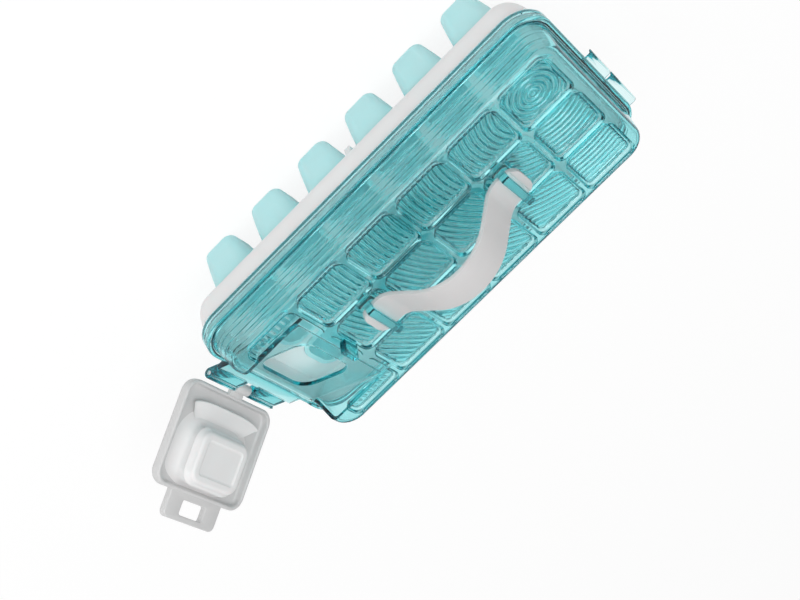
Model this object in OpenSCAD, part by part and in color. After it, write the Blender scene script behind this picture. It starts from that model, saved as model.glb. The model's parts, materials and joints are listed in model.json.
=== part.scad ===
// Ice cube tray with push-out cups, a clear bin cover, a carrying strap and a pour hatch.
// Millimetres, +Z up. The origin is on the standing plane, under the middle of the cover's rim.
// The long side runs along X, and the pour hatch is at the -X end, drawn open.

/* [Cups] */
// Distance between neighbouring cups
cup_pitch = 38; // [36:0.5:44]
// Cups along the long side
cup_columns = 6; // [4:1:8]
// Cups across the tray
cup_rows = 3; // [2:1:4]
// Height of a cup, from its foot to the tray deck
cup_h = 38; // [30:0.5:46]
// Outside width of a cup under the deck
cup_top_w = 33; // [30:0.5:33.5]
// Outside width of a cup at its foot
cup_foot_w = 22; // [18:0.5:25]
// Half of the flat part of a cup's sides
cup_flat = 5.5; // [4:0.5:7]
// Wall of a cup
cup_wall = 1.6; // [1.2:0.1:2.2]
// Rounding of a cup's foot
cup_foot_round = 3; // [2:0.5:3.5]
// How far a cup's collar stands proud of the deck
collar_h = 1.2; // [0.8:0.1:2]
// How far a cup's neck is drawn in to pass the deck
neck_step = 1; // [0.6:0.1:1.2]
// How far a collar laps past the cup below it
collar_lap = 0.2; // [0.1:0.05:0.4]

/* [Tray frame] */
// Thickness of the deck that holds the cups
deck_t = 2; // [1.6:0.1:3]
// How far the band hangs below the deck's underside
band_drop = 4; // [2:0.5:8]
// Wall of the band
band_wall = 2.4; // [2:0.1:3]
// How far the band's foot is drawn in from its rim
band_draft = 5.6; // [3:0.2:7]
// Height of the band's rim above the deck
rim_rise = 16.9; // [14:0.1:20]
// Thickness of the cross rib under the deck
rib_t = 4.2; // [3:0.1:4.6]
// Height of the cross rib
rib_h = 17; // [10:0.5:24]

/* [Rim seal] */
// Thickness of the seal on the band's rim
seal_t = 0.7; // [0.5:0.1:1.2]
// Width of the seal's bead
seal_bead_w = 1; // [0.8:0.1:1.4]
// Height of the seal's bead
seal_bead = 0.3; // [0.2:0.05:0.6]
// Room between the seal and the cover
seal_gap = 0.3; // [0.2:0.05:0.5]

/* [Cover] */
// From the cups' outer pitch line to the rim at the pour end
pour_margin = 17; // [15:0.5:20]
// From the cups' outer pitch line to the rim at the far end
far_margin = 13; // [11:0.5:16]
// From the cups' outer pitch line to the rim at the long sides
side_margin = 10; // [9:0.5:14]
// Corner radius of the rim
rim_r = 20; // [18.5:0.5:26]
// Height of the cover, from the skirt's lower edge to the face
cover_h = 29; // [26:0.5:40]
// Height of the skirt around the band's rim
skirt_h = 8.6; // [7:0.1:11]
// Wall of the skirt
skirt_wall = 2.2; // [1.8:0.1:2.4]
// Room between the skirt and the band's rim
band_gap = 1.2; // [0.8:0.1:1.4]
// How far the skirt reaches down over the band's rim
skirt_overlap = 3.9; // [3:0.1:6]
// Width of the ledge on top of the skirt
ledge_w = 4; // [3:0.1:5]
// Rounding of the ledge's outer edge
ledge_round = 1.5; // [1:0.1:2]
// How far the wall leans in between the ledge and the face
wall_lean = 3; // [1:0.1:4.5]
// Rounding between the wall and the face
face_round = 5; // [3:0.5:7]
// Wall of the cover
cover_wall = 2.4; // [2:0.1:3]
// Width of a well in the face
panel_w = 34.5; // [30:0.5:35]
// Corner radius of a well
panel_r = 5.5; // [4:0.5:10]
// Depth of a well
panel_d = 3.2; // [1:0.1:3.5]
// Inset of a well's floor on each side
panel_draft = 1.2; // [0.4:0.1:2]

/* [Pull tabs] */
// How far the tabs stand out at the far end
tab_out = 5; // [3:0.5:8]
// Height of the tabs
tab_h = 4.5; // [3:0.5:6]
// Wall of the tabs' curl
tab_wall = 1.2; // [1:0.1:1.5]
// Length of the first tab
tab_first = 24; // [18:1:26]
// Length of the second tab
tab_second = 31; // [18:1:34]
// Gap between the two tabs
tab_gap = 2.5; // [1.5:0.5:6]
// Where the first tab starts, from the middle of the far end
tab_start = 5; // [0:1:10]

/* [Pour mouth and hatch] */
// Slope of the mouth's seat
seat_slope = 25; // [23:0.5:28]
// Height of the seat above the line through the hinge
seat_lift = 2.6; // [2.4:0.1:3]
// Room between the closed hatch and its seat
seat_gap = 0.3; // [0.2:0.05:0.5]
// Hinge, measured outwards from the rim's end
hinge_out = 15; // [14:0.5:18]
// Hinge, measured down from the skirt's lower edge
hinge_drop = 3.5; // [3:0.1:4.5]
// Lower edge of the mouth, measured inwards from the rim's end
mouth_inset = 9.9; // [9:0.1:13]
// Length of the mouth up the slope
mouth_l = 36; // [30:0.5:37]
// Width of the mouth
mouth_w = 46; // [36:0.5:50]
// Corner radius of the mouth
mouth_r = 10; // [6:0.5:12]
// How far the hatch laps over the mouth's upper edge
hatch_lap = 4.5; // [3.5:0.1:6]
// How far the hatch laps over the mouth's sides
hatch_side_lap = 15; // [12:0.5:16]
// Free space beside the hatch in its pocket
pocket_gap = 3; // [2:0.5:4]
// Thickness of the hatch panel
hatch_t = 2.2; // [1.6:0.1:3]
// Height of the lip around the hatch panel
hatch_lip_h = 5; // [3.5:0.1:6]
// Width of the lip around the hatch panel
hatch_lip_w = 2.5; // [1.5:0.1:4]
// Corner radius of the hatch panel
hatch_r = 9; // [6:0.5:12]
// How far the plug goes in below the seat
plug_depth = 8; // [5:0.5:9]
// Room between the plug and the mouth
plug_gap = 0.5; // [0.4:0.05:0.8]
// How far the plug narrows towards its end
plug_draft = 2; // [1.2:0.1:3]
// Rounding of the plug's end
plug_end_r = 2.5; // [1.5:0.1:3]
// Depth of the plug's sealing bead
plug_bead = 0.8; // [0.5:0.1:1]
// How far the plug's flap reaches towards the hinge
flap_reach = 13; // [8:0.5:14]
// How far the plug's flap reaches past the mouth's sides
flap_side = 6; // [4:0.5:8]
// Thickness of the plug's flap
flap_t = 1.2; // [1:0.1:2]
// Corner radius of the plug's flap
flap_r = 5; // [3:0.5:7]
// Angle by which the drawn hatch stands open
hatch_open = 121; // [0:1:160]

/* [Hatch loop and catch] */
// How far the loop reaches past the panel
loop_l = 16; // [14:0.5:18]
// Width of the loop
loop_w = 44; // [34:0.5:50]
// Thickness of the loop
loop_t = 4.4; // [3:0.1:4.8]
// Height of the loop above the lip's edge
loop_lift = 0.4; // [0.2:0.1:0.8]
// Corner radius of the loop
loop_r = 4; // [2:0.5:6]
// Length of the slot in the loop, up the slope
slot_l = 9; // [8:0.1:10]
// Width of the slot in the loop
slot_w = 20; // [16:0.5:24]
// Corner radius of the slot in the loop
slot_r = 1.5; // [1:0.1:3]
// Thickness of the catch
catch_t = 4; // [3:0.1:4.5]
// Width of the catch
catch_w = 14; // [8:0.5:15]
// Corner radius of the catch
catch_r = 1.4; // [0.5:0.1:1.4]
// Height of the catch above the seat's plane
catch_h = 5.6; // [4.6:0.1:6.5]

/* [Hinge] */
// Radius of the hinge pin
pin_r = 1.25; // [1:0.05:1.5]
// Radius of the hinge knuckles
knuckle_r = 3.4; // [3:0.1:3.8]
// Width of each knuckle on the cover
knuckle_w = 24; // [18:0.5:26]
// Middle of each knuckle on the cover, from the centre line
knuckle_y = 18; // [16:0.5:20]
// Room between the knuckles and the hatch panel
knuckle_room = 1.6; // [1.2:0.1:2.4]
// How far the pin ends short of the outer knuckles
pin_short = 0.5; // [0.2:0.1:1]
// How far the sill stands out from the rim's end
sill_out = 7.5; // [6:0.5:9]
// How far the sill runs past the knuckles
sill_margin = 4; // [2:0.5:8]
// Room between the knuckles' arms and the seat's plane
arm_gap = 0.4; // [0.2:0.1:0.8]
// Running clearance of the pin in the hatch
pin_run = 0.06; // [0.03:0.01:0.1]
// Clearance of the pin in the cover's knuckles
pin_hold = 0.02; // [0.01:0.005:0.03]
// Side clearance between knuckles
knuckle_gap = 0.4; // [0.3:0.05:0.8]

/* [Strap] */
// Width of the strap
strap_w = 26; // [18:0.5:30]
// Thickness of the strap
strap_t = 2.2; // [1.6:0.1:3]
// Rise of the strap's arch
strap_rise = 26.4; // [18:0.2:32]
// Half span of the arch
strap_half = 47.4; // [42:0.2:48]
// Radius at the top of the arch
strap_top_r = 36; // [24:0.5:40]
// Radius at the foot of the arch
strap_foot_r = 15; // [10:0.5:18]
// How far a strap end runs past its bar
strap_tongue = 5.6; // [4:0.2:8]
// Height of the stop at a strap end
strap_stop_h = 0.9; // [0.5:0.1:1.5]
// Length of the stop at a strap end
strap_stop_l = 4.6; // [2:0.1:5]
// Corner radius of a strap end
strap_end_r = 8; // [4:0.5:10]

/* [Strap bars] */
// Middle of each bar, from the middle of the cups
bar_x = 51.5; // [51:0.1:53]
// Width of a bar
bar_w = 5; // [3.5:0.1:5.5]
// Thickness of a bar
bar_t = 2.8; // [2:0.1:4]
// Width of the post at each end of a bar
post_w = 2.2; // [1.8:0.1:5]
// Room between the strap and its bar
strap_gap = 0.3; // [0.2:0.05:0.6]
// Length of the pedestal under a bar
bed_l = 9; // [7:0.5:16]
// Corner radius of the pedestal
bed_r = 2; // [1:0.5:4]

/* [Hidden] */
$fn = 64;
// Steps in a rounded edge of a profile
round_steps = 6;
// Steps in the band's bulge
band_steps = 8;
// Overlap that makes a cut pass its face
pass = 1;
// Rounding of small moulded edges
edge_round = 0.6;
// Taper of the band's foot
foot_taper = 0.8;
// Straight part of the band under the skirt
band_straight = 1;
// Sizes that follow from the ones above
rim_l = cup_columns * cup_pitch + pour_margin + far_margin;
rim_w = cup_rows * cup_pitch + 2 * side_margin;
corner_x = rim_l / 2 - rim_r;
corner_y = rim_w / 2 - rim_r;
grid_x = (pour_margin - far_margin) / 2;
deck_top = cup_h + deck_t;
band_foot = cup_h - band_drop;
band_top = deck_top + rim_rise;
seal_top = band_top + seal_t + seal_bead;
skirt_foot = band_top - skirt_overlap;
ledge_top = skirt_foot + skirt_h;
face_z = skirt_foot + cover_h;
ceiling_z = face_z - panel_d - cover_wall;
skirt_in = rim_r - skirt_wall;
band_out = skirt_in - band_gap;
wall_out = rim_r - ledge_w;
lean = atan(wall_lean / (face_z - ledge_top));
cup_half = cup_top_w / 2;
neck_half = cup_half - neck_step;
neck_clearance = 0.05;
hinge_x = -rim_l / 2 - hinge_out;
hinge_z = skirt_foot - hinge_drop;
mouth_s = (hinge_out + mouth_inset) / cos(seat_slope);
hatch_l = mouth_s + mouth_l + hatch_lap;
hatch_w = mouth_w + 2 * hatch_side_lap;
hatch_start = knuckle_r + knuckle_room;
hatch_n = seat_lift + seat_gap;
panel_n = hatch_n + hatch_lip_h;
barrel_w = 2 * (knuckle_y - knuckle_w / 2 - knuckle_gap);
slot_s = hatch_l + (loop_l - slot_l) / 2;
pin_l = 2 * (knuckle_y + knuckle_w / 2 - pin_short);
bar_l = strap_w + 2 * post_w + 2 * strap_gap;

// Points of an arc from one angle to another
function arc(centre, r, from, to) = [
    for (i = [0 : round_steps])
        let (a = from + (to - from) * i / round_steps)
            [centre[0] + r * cos(a), centre[1] + r * sin(a)]
];

// Middle of an arc that meets a level face and a wall leaning away from its edge
function tangent_x(edge, r, lean) = edge - r * (1 - sin(lean)) / cos(lean);

// Middle of a cup, counted from the pour end and from the -Y side
function cup_place(row, column) = [
    grid_x + (column - (cup_columns + 1) / 2) * cup_pitch,
    (row - (cup_rows + 1) / 2) * cup_pitch
];

// Sweeps a profile around a rounded rectangle; the profile's x counts outwards from its corner centres
module swept(half_x, half_y) {
    for (turn = [0 : 3]) {
        out = turn % 2 == 0 ? half_x : half_y;
        along = turn % 2 == 0 ? half_y : half_x;
        rotate(90 * turn) translate([out, along, 0]) {
            rotate([90, 0, 0]) linear_extrude(2 * along) children();
            rotate_extrude(angle = 90) children();
        }
    }
}

// Block with round upright edges, centred in X and Y
module rounded_block(size, r) {
    translate([-size[0] / 2 + r, -size[1] / 2, 0]) cube([size[0] - 2 * r, size[1], size[2]]);
    translate([-size[0] / 2, -size[1] / 2 + r, 0]) cube([size[0], size[1] - 2 * r, size[2]]);
    for (x = [-1, 1], y = [-1, 1])
        translate([x * (size[0] / 2 - r), y * (size[1] / 2 - r), 0]) cylinder(r = r, h = size[2]);
}

// Box between two heights over the middle of a swept shape
module core(half_x, half_y, low, high) {
    translate([-half_x, -half_y, low]) cube([2 * half_x, 2 * half_y, high - low]);
}

// Places things drawn with x up the slope from the hinge and z square to the seat, at an opening angle
module at_hinge(opening) {
    translate([hinge_x, 0, hinge_z]) rotate([0, -seat_slope - opening, 0]) children();
}

// Wall of a push-out cup, from the middle of its floor to its collar
module cup_profile() {
    foot = cup_foot_w / 2 - cup_flat;
    top = cup_half - cup_flat;
    neck = neck_half - cup_flat - neck_clearance;
    inner_top = neck - cup_wall;
    inner_foot = foot - cup_wall;
    r = cup_foot_round;
    inner_r = r / 2;
    draft = atan((top - foot) / cup_h);
    collar = top + collar_lap;
    collar_top = deck_top + collar_h;
    polygon(concat(
        [[0, 0]],
        arc([tangent_x(foot, r, draft), r], r, -90, -draft),
        [[top, cup_h], [neck, cup_h], [neck, deck_top], [collar, deck_top]],
        arc([collar - edge_round, collar_top - edge_round], edge_round, 0, 90),
        [[inner_top, collar_top], [inner_top, cup_h]],
        arc([tangent_x(inner_foot, inner_r, draft), cup_wall + inner_r], inner_r, -draft, -90),
        [[0, cup_wall]]
    ));
}

module cup(row, column) {
    color([0.66, 0.88, 0.88]) translate(cup_place(row, column)) {
        swept(cup_flat, cup_flat) cup_profile();
        core(cup_flat, cup_flat, 0, cup_wall);
    }
}

// Wall of the tray's band, with the deck's edge
module band_profile() {
    foot = band_out - band_draft;
    bulge_top = skirt_foot - band_straight;
    bulge_h = bulge_top - band_foot;
    curve = [for (i = [0 : band_steps]) let (a = 90 * i / band_steps)
        [foot + band_draft * sin(a), bulge_top - bulge_h * cos(a)]];
    inner = [for (i = [band_steps : -1 : 0]) let (p = curve[i])
        if (p[1] > deck_top + edge_round) [p[0] - band_wall, p[1]]];
    deck_in = inner[len(inner) - 1][0] - edge_round;
    polygon(concat(
        [[foot - band_wall + foot_taper, band_foot], [foot - foot_taper, band_foot]],
        [for (p = curve) if (p[1] > band_foot + foot_taper / 2) p],
        arc([band_out - edge_round, band_top - edge_round], edge_round, 0, 90),
        [[band_out - band_wall, band_top]],
        inner,
        [[deck_in, deck_top], [0, deck_top], [0, cup_h], [foot - band_wall, cup_h]]
    ));
}

module tray_frame() {
    color([0.91, 0.90, 0.90]) {
        difference() {
            union() {
                swept(corner_x, corner_y) band_profile();
                core(corner_x, corner_y, cup_h, deck_top);
            }
            for (row = [1 : cup_rows], column = [1 : cup_columns])
                translate(concat(cup_place(row, column), cup_h - pass))
                    rounded_block([2 * neck_half, 2 * neck_half, deck_t + 2 * pass], neck_half - cup_flat);
        }
        cross_rib();
    }
}

// Rib across the tray's underside, between the two middle columns of cups
module cross_rib() {
    reach = rim_w / 2 - rim_r + band_out - band_draft - band_wall;
    low = cup_h - rib_h;
    shoulder = rib_h - band_drop;
    column = floor(cup_columns / 2);
    x = cup_place(1, column)[0] + cup_pitch / 2;
    translate([x - rib_t / 2, 0, 0]) rotate([90, 0, 90]) linear_extrude(rib_t) polygon([
        [-reach, cup_h], [-reach, band_foot], [-reach + shoulder / 2, low],
        [reach - shoulder / 2, low], [reach, band_foot], [reach, cup_h]
    ]);
}

// Flat seal with a bead, on top of the band's rim
module rim_seal() {
    inner = band_out - band_wall;
    outer = band_out - edge_round;
    middle = (inner + outer) / 2;
    bead = seal_bead_w / 2;
    color([0.80, 0.93, 0.93]) swept(corner_x, corner_y) polygon([
        [inner, band_top], [outer, band_top], [outer, band_top + seal_t],
        [middle + bead, band_top + seal_t], [middle + bead / 2, seal_top], [middle - bead / 2, seal_top],
        [middle - bead, band_top + seal_t], [inner, band_top + seal_t]
    ]);
}

// Outside of the cover: skirt, ledge, leaning wall and rounded edge of the face
module cover_outside() {
    top = wall_out - wall_lean;
    swept(corner_x, corner_y) polygon(concat(
        [[0, skirt_foot], [rim_r, skirt_foot]],
        arc([rim_r - ledge_round, ledge_top - ledge_round], ledge_round, 0, 90),
        [[wall_out + edge_round, ledge_top], [wall_out, ledge_top + edge_round]],
        arc([tangent_x(top, face_round, lean), face_z - face_round], face_round, lean, 90),
        [[0, face_z]]
    ));
    core(corner_x, corner_y, skirt_foot, face_z);
}

// Inside of the cover: the bin, and the channel that takes the band's rim and its seal
module cover_inside() {
    r = face_round - cover_wall;
    channel_top = seal_top + seal_gap;
    foot = wall_out - cover_wall + (ledge_top - channel_top) * tan(lean);
    top = wall_out - cover_wall - (ceiling_z - ledge_top) * tan(lean);
    swept(corner_x, corner_y) polygon(concat(
        [[0, skirt_foot - pass], [skirt_in, skirt_foot - pass], [skirt_in, channel_top]],
        [[foot, channel_top]],
        arc([tangent_x(top, r, lean), ceiling_z - r], r, lean, 90),
        [[0, ceiling_z]]
    ));
    core(corner_x, corner_y, skirt_foot - pass, ceiling_z);
}

// Space above the sloping seat, grown all round by a wall
module seat_pocket(grow) {
    width = hatch_w + 2 * pocket_gap + 2 * grow;
    at_hinge(0) translate([-2 * hinge_out, -width / 2, seat_lift - grow])
        cube([hatch_l + 6 * hinge_out, width, 3 * cover_h]);
}

// Ledge outside the mouth that carries the hinge
module sill() {
    width = 2 * (knuckle_y + knuckle_w / 2 + sill_margin);
    translate([-rim_l / 2 - sill_out, -width / 2, skirt_foot]) cube([sill_out + rim_r, width, skirt_h]);
}

// Hole through the seat for pouring, square to the slope
module mouth() {
    at_hinge(0) translate([mouth_s + mouth_l / 2, 0, seat_lift - 3 * cover_wall])
        rounded_block([mouth_l, mouth_w, 4 * cover_wall], mouth_r);
}

// Knuckles of the cover, with the arms that carry them
module cover_knuckles() {
    arm_n = seat_lift - arm_gap;
    arm_l = (hinge_out - sill_out + pass) / cos(seat_slope);
    at_hinge(0) for (side = [-1, 1])
        translate([0, side * knuckle_y + knuckle_w / 2, 0]) rotate([90, 0, 0]) difference() {
            union() {
                cylinder(r = knuckle_r, h = knuckle_w);
                translate([0, -knuckle_r, 0]) cube([arm_l, arm_n + knuckle_r, knuckle_w]);
            }
            translate([0, 0, -pass]) cylinder(r = pin_r + pin_hold, h = knuckle_w + 2 * pass);
        }
}

// Wells in the face, left out where the hatch pocket and the pedestals of the strap bars are
module face_wells() {
    corner = panel_w / 2 - panel_r;
    floor_z = face_z - panel_d;
    top_z = face_z + pass;
    difference() {
        for (row = [1 : cup_rows], column = [1 : cup_columns])
            if (!(column == 1 && abs(cup_place(row, column)[1]) < cup_pitch / 2))
                translate(cup_place(row, column)) {
                    swept(corner, corner) polygon([
                        [0, floor_z], [panel_r - panel_draft, floor_z],
                        [panel_r, face_z], [panel_r, top_z], [0, top_z]
                    ]);
                    core(corner, corner, floor_z, top_z);
                }
        seat_pocket(cover_wall);
        for (side = [-1, 1]) translate([grid_x + side * bar_x, 0, floor_z - pass])
            rounded_block([bed_l, bar_l, panel_d + 2 * pass], bed_r);
    }
}

// Bar over a strap end, on two posts
module strap_bar(side) {
    under = face_z + strap_t + strap_gap;
    translate([grid_x + side * bar_x, 0, 0]) {
        for (end = [-1, 1]) translate([-bar_w / 2, end * (bar_l - post_w) / 2 - post_w / 2, face_z - pass])
            cube([bar_w, post_w, under + pass + bar_t / 2 - face_z]);
        translate([-bar_w / 2, -bar_l / 2, under]) cube([bar_w, bar_l, bar_t]);
    }
}

// Catch on the face that the hatch's loop drops over
module hatch_catch() {
    at_hinge(0) translate([slot_s + slot_l / 2, 0, -cover_wall])
        rounded_block([catch_t, catch_w, seat_lift + catch_h + cover_wall], catch_r);
}

// Two finger tabs on the skirt at the far end, each a thin plate that curls down
module pull_tabs() {
    low = skirt_foot + (skirt_h - tab_h) / 2;
    root = rim_l / 2 - skirt_wall / 2;
    curl = [rim_l / 2 + tab_out - tab_h / 2, low + tab_h / 2];
    starts = [tab_start, tab_start - tab_first - tab_gap];
    lengths = [tab_first, tab_second];
    profile = concat(
        [[root, low + tab_h]],
        arc(curl, tab_h / 2, 90, -90),
        arc(curl, tab_h / 2 - tab_wall, -90, 90),
        [[root, low + tab_h - tab_wall]]
    );
    for (i = [0, 1]) translate([0, starts[i], 0]) rotate([90, 0, 0])
        linear_extrude(lengths[i]) polygon(profile);
}

module bin_cover() {
    color([0.30, 0.72, 0.74, 0.55]) {
        difference() {
            union() {
                difference() {
                    union() {
                        cover_outside();
                        sill();
                    }
                    seat_pocket(0);
                    face_wells();
                }
                for (side = [-1, 1]) strap_bar(side);
                hatch_catch();
            }
            difference() {
                cover_inside();
                seat_pocket(cover_wall);
            }
            mouth();
        }
        cover_knuckles();
        pull_tabs();
    }
}

// Middle line of the strap's arch from its top to its foot, on the +X side
function strap_line() =
    let (
        sum_r = strap_top_r + strap_foot_r,
        drop = sum_r - strap_rise,
        lean = asin(sum_r / norm([strap_half, drop])) - atan2(drop, strap_half)
    ) concat(
        [for (i = [0 : 2 * round_steps]) let (a = lean * i / (2 * round_steps))
            [strap_top_r * sin(a), strap_rise - strap_top_r * (1 - cos(a)), a]],
        [for (i = [round_steps : -1 : 0]) let (a = lean * i / round_steps)
            [strap_half - strap_foot_r * sin(a), strap_foot_r * (1 - cos(a)), a]]
    );

module carry_strap() {
    half = strap_t / 2;
    end = bar_x + bar_w / 2 + strap_tongue;
    line = strap_line();
    top = [for (p = line) [p[0] + half * sin(p[2]), p[1] + half * cos(p[2])]];
    under = [for (p = line) [p[0] - half * sin(p[2]), p[1] - half * cos(p[2])]];
    stop_x = end - strap_stop_l;
    stop_top = half + strap_stop_h;
    stop = [[stop_x, half], [stop_x + edge_round, stop_top], [end, stop_top]];
    right_top = concat(top, stop);
    right_under = concat(under, [[end, -half]]);
    flipped = function (points) [for (i = [1 : len(points) - 1]) [-points[i][0], points[i][1]]];
    reversed = function (points) [for (i = [len(points) - 1 : -1 : 0]) points[i]];
    upper = concat(reversed(flipped(right_top)), right_top);
    lower = concat(reversed(right_under), flipped(right_under));
    color([0.86, 0.85, 0.85]) translate([grid_x, 0, face_z + half]) intersection() {
        translate([0, strap_w / 2, 0]) rotate([90, 0, 0])
            linear_extrude(strap_w) polygon(concat(upper, lower));
        translate([0, 0, -strap_t])
            rounded_block([2 * end, strap_w, strap_rise + 2 * strap_t], strap_end_r);
    }
}

// Barrel of the hatch between the cover's knuckles, with the arm that joins it to the lip
module hatch_barrel() {
    arm_n = knuckle_r / 2;
    translate([0, barrel_w / 2, 0]) rotate([90, 0, 0]) {
        cylinder(r = knuckle_r, h = barrel_w);
        translate([0, arm_n, 0]) cube([hatch_start + hatch_lip_w / 2, hatch_n, barrel_w]);
    }
}

// Loop at the hatch's free end, before its slot is cut
module pull_loop() {
    root = hatch_l - hatch_lip_w / 2;
    tip = hatch_l + loop_l - loop_r;
    side = loop_w / 2 - loop_r;
    linear_extrude(loop_t) polygon(concat(
        [[root, -loop_w / 2]],
        arc([tip, -side], loop_r, -90, 0),
        arc([tip, side], loop_r, 0, 90),
        [[root, loop_w / 2]]
    ));
}

module hatch_door() {
    panel_l = hatch_l - hatch_start;
    panel_h = hatch_lip_h + hatch_t;
    loop_n = hatch_n + loop_lift;
    color([0.87, 0.87, 0.87]) at_hinge(hatch_open) difference() {
        union() {
            difference() {
                translate([hatch_start + panel_l / 2, 0, hatch_n])
                    rounded_block([panel_l, hatch_w, panel_h], hatch_r);
                translate([hatch_start + panel_l / 2, 0, hatch_n - pass])
                    rounded_block(
                        [panel_l - 2 * hatch_lip_w, hatch_w - 2 * hatch_lip_w, hatch_lip_h + pass],
                        hatch_r - hatch_lip_w
                    );
            }
            hatch_barrel();
            translate([0, 0, loop_n]) pull_loop();
        }
        translate([slot_s + slot_l / 2, 0, loop_n - pass])
            rounded_block([slot_l, slot_w, loop_t + 2 * pass], slot_r);
        translate([0, barrel_w / 2 + pass, 0]) rotate([90, 0, 0])
            cylinder(r = pin_r + pin_run, h = barrel_w + 2 * pass);
    }
}

// Plug that fills the mouth, narrowing to a rounded end, with a sealing bead and a flap on the seat
module hatch_plug() {
    half_x = mouth_l / 2 - mouth_r;
    half_y = mouth_w / 2 - mouth_r;
    root = mouth_r - plug_gap;
    end_n = seat_lift - plug_depth;
    bead_n = seat_lift - cover_wall;
    flap_l = mouth_l + flap_reach;
    color([0.88, 0.88, 0.88]) at_hinge(hatch_open) translate([mouth_s + mouth_l / 2, 0, 0]) {
        swept(half_x, half_y) polygon(concat(
            [[0, panel_n], [0, end_n]],
            arc([root - plug_draft - plug_end_r, end_n + plug_end_r], plug_end_r, -90, 0),
            [[root - plug_bead, bead_n - 2 * plug_bead], [root, bead_n - plug_bead], [root, bead_n]],
            [[root - plug_bead, bead_n + plug_bead], [root - plug_bead, panel_n]]
        ));
        core(half_x, half_y, end_n, panel_n);
        translate([-flap_reach / 2, 0, hatch_n])
            rounded_block([flap_l, mouth_w + 2 * flap_side, flap_t], flap_r);
    }
}

module hinge_pin() {
    color([0.75, 0.77, 0.78]) translate([hinge_x, pin_l / 2, hinge_z]) rotate([90, 0, 0])
        cylinder(r = pin_r, h = pin_l);
}

tray_frame();
rim_seal();
bin_cover();
carry_strap();
hatch_door();
hatch_plug();
hinge_pin();
for (row = [1 : cup_rows]) for (column = [1 : cup_columns])
    cup(row, column);
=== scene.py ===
import json
import math

import bmesh
import bpy
import numpy as np
from mathutils import Matrix, Vector


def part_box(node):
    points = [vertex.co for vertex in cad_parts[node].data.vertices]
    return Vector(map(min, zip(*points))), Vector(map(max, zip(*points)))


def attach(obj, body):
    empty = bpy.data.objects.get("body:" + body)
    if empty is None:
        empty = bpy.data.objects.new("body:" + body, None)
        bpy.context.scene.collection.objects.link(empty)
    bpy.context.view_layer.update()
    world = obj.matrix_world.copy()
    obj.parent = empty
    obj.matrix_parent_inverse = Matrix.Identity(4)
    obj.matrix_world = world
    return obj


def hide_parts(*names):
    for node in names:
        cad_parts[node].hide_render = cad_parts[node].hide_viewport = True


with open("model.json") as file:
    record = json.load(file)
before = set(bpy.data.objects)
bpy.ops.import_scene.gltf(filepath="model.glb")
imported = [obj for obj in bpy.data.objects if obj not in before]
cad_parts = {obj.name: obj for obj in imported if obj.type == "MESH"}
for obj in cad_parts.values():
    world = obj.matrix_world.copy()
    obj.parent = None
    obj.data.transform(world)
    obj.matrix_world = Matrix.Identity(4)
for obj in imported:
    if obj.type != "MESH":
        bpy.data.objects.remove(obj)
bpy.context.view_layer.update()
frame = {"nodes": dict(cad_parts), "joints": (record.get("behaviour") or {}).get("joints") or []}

MM = 0.001


def node_box(node):
    """Lowest and highest corner of a CAD node, in millimetres."""
    low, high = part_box(node)
    return np.array(low) / MM, np.array(high) / MM


def joint_named(name):
    return next(joint for joint in frame["joints"] if joint["name"] == name)


# Sizes read off the frame
CUP_NODES = sorted(node for node in frame["nodes"] if node.startswith("cup_"))
CUP_PLACES = {node: sum(node_box(node)) / 2 for node in CUP_NODES}
COLUMN_X = sorted({round(float(place[0]), 3) for place in CUP_PLACES.values()})
ROW_Y = sorted({round(float(place[1]), 3) for place in CUP_PLACES.values()})
GRID_X = (COLUMN_X[0] + COLUMN_X[-1]) / 2
PITCH = COLUMN_X[1] - COLUMN_X[0]
FRAME_LOW, FRAME_HIGH = node_box("tray_frame")
RIB_LOW = FRAME_LOW[2]
BAND_TOP = FRAME_HIGH[2]
SEAL_TOP = node_box("rim_seal")[1][2]
STRAP_LOW, STRAP_HIGH = node_box("carry_strap")
STRAP_BAR_TOP = node_box("bin_cover")[1][2]
HINGE_X, _, HINGE_Z = (value / MM for value in joint_named("hatch_hinge")["pos_m"])

# Cover: widths are outward from the centres of the rim's corner arcs
BAND_OUT = 16.6
RIM_R = 20.0
CORNER_X = FRAME_HIGH[0] - BAND_OUT
CORNER_Y = FRAME_HIGH[1] - BAND_OUT
SKIRT_OVERLAP = 3.9
SKIRT_H = 8.6
COVER_H = 29.0
COVER_WALL = 2.4
SKIRT_FOOT = BAND_TOP - SKIRT_OVERLAP
LEDGE_Z = SKIRT_FOOT + SKIRT_H
FACE_Z = SKIRT_FOOT + COVER_H
CEILING_Z = FACE_Z - COVER_WALL
WALL_FOOT = 16.0
WALL_TOP = 13.0
WALL_RISE = 1.2
WALL_SHIFT = 0.05
WALL_STEPS = 5
FACE_ROUND = 5.0
INNER_ROUND = FACE_ROUND - COVER_WALL
FOOT_FILLET = 0.8
RIM_ROUND = 1.5
LEAN = math.atan2(WALL_FOOT - WALL_TOP, FACE_Z - LEDGE_Z)
CAP_R = WALL_TOP - FACE_ROUND * (1 - math.sin(LEAN)) / math.cos(LEAN)

# Skirt, with its groove and chamfer as (inward from the rim, up from the foot) points
SKIRT_IN = 18.6
SKIRT_THICK = 17.8
SKIRT_CUT = (0.3, 0.4)
SKIRT_STEP = (4.2, 4.7)
SKIRT_GROOVE = ((0, 3.9), (0.8, 3.7), (0.8, 2.9), (0, 2.6))
FOOT_CHAMFER = ((0, 0.5), (0.4, 0))

# Ledge, with its groove as (outward from the wall's foot, up from the ledge) points
LEDGE_GROOVE = ((0.9, 0), (1.4, -1.0), (1.9, 0))
LEDGE_T = 1.8
CHANNEL_Z = LEDGE_Z - LEDGE_T
FOOT_THINNING = 0.4
INNER_FOOT = WALL_FOOT - COVER_WALL + FOOT_THINNING

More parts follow.
